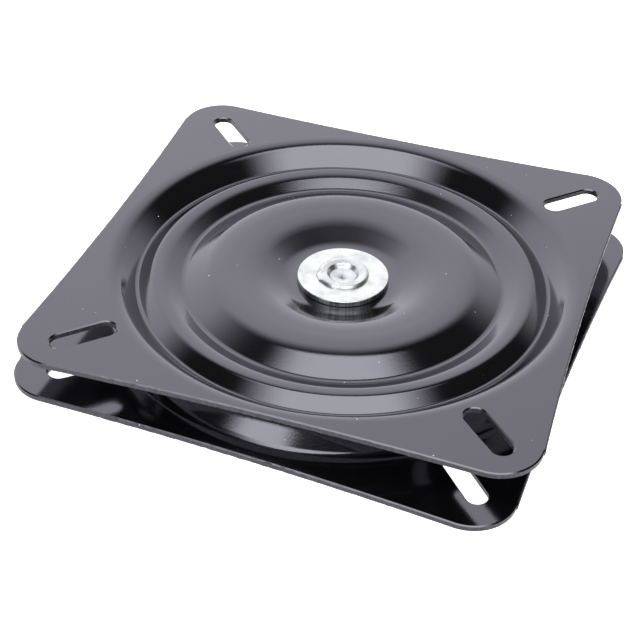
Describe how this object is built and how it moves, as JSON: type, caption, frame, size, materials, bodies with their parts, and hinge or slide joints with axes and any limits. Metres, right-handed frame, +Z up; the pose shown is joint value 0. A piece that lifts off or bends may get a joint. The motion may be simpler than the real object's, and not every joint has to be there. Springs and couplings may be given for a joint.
{
  "type": "lazy susan bearing",
  "caption": "Square turntable bearing: pressed black plates, one over the other, turning on a ball ring about a centre rivet, with a slotted screw hole in each corner.",
  "frame": {"origin": "on the swivel axis, in the plane of the lower plate's flat rim on which the part rests", "axes": "+Z up along the swivel axis towards the upper plate; +X right and +Y back along the lower plate's sides"},
  "size_m": [0.2103, 0.2084, 0.023],
  "materials": {
    "paint_upper": "satin black paint",
    "paint_lower": "satin black paint",
    "washer_zinc": "bright zinc plate",
    "rivet_zinc": "bright zinc plate",
    "cage_steel": "bare punched steel",
    "ball_steel": "polished steel"
  },
  "bodies": {
    "base": {"plate_lower": "paint_lower", "washer_lower": "washer_zinc", "rivet": "rivet_zinc", "washer_upper": "washer_zinc"},
    "turntable": {"plate_upper": "paint_upper"},
    "race": {"ball_cage": "cage_steel", "ball_01": "ball_steel", "ball_02": "ball_steel", "ball_03": "ball_steel", "ball_04": "ball_steel", "ball_05": "ball_steel", "ball_06": "ball_steel", "ball_07": "ball_steel", "ball_08": "ball_steel", "ball_09": "ball_steel", "ball_10": "ball_steel", "ball_11": "ball_steel", "ball_12": "ball_steel", "ball_13": "ball_steel", "ball_14": "ball_steel", "ball_15": "ball_steel", "ball_16": "ball_steel", "ball_17": "ball_steel", "ball_18": "ball_steel", "ball_19": "ball_steel", "ball_20": "ball_steel", "ball_21": "ball_steel", "ball_22": "ball_steel", "ball_23": "ball_steel", "ball_24": "ball_steel"}
  },
  "joints": [
    {"name": "swivel", "type": "hinge", "parent": "base", "child": "turntable", "pos_m": [0, 0, 0.0115], "axis": [0, 0, 1], "continuous": true},
    {"name": "race_roll", "type": "hinge", "parent": "base", "child": "race", "pos_m": [0, 0, 0.0115], "axis": [0, 0, 1], "continuous": true}
  ],
  "couplings": [
    {"joint": "race_roll", "follows": "swivel", "ratio": 0.5}
  ]
}
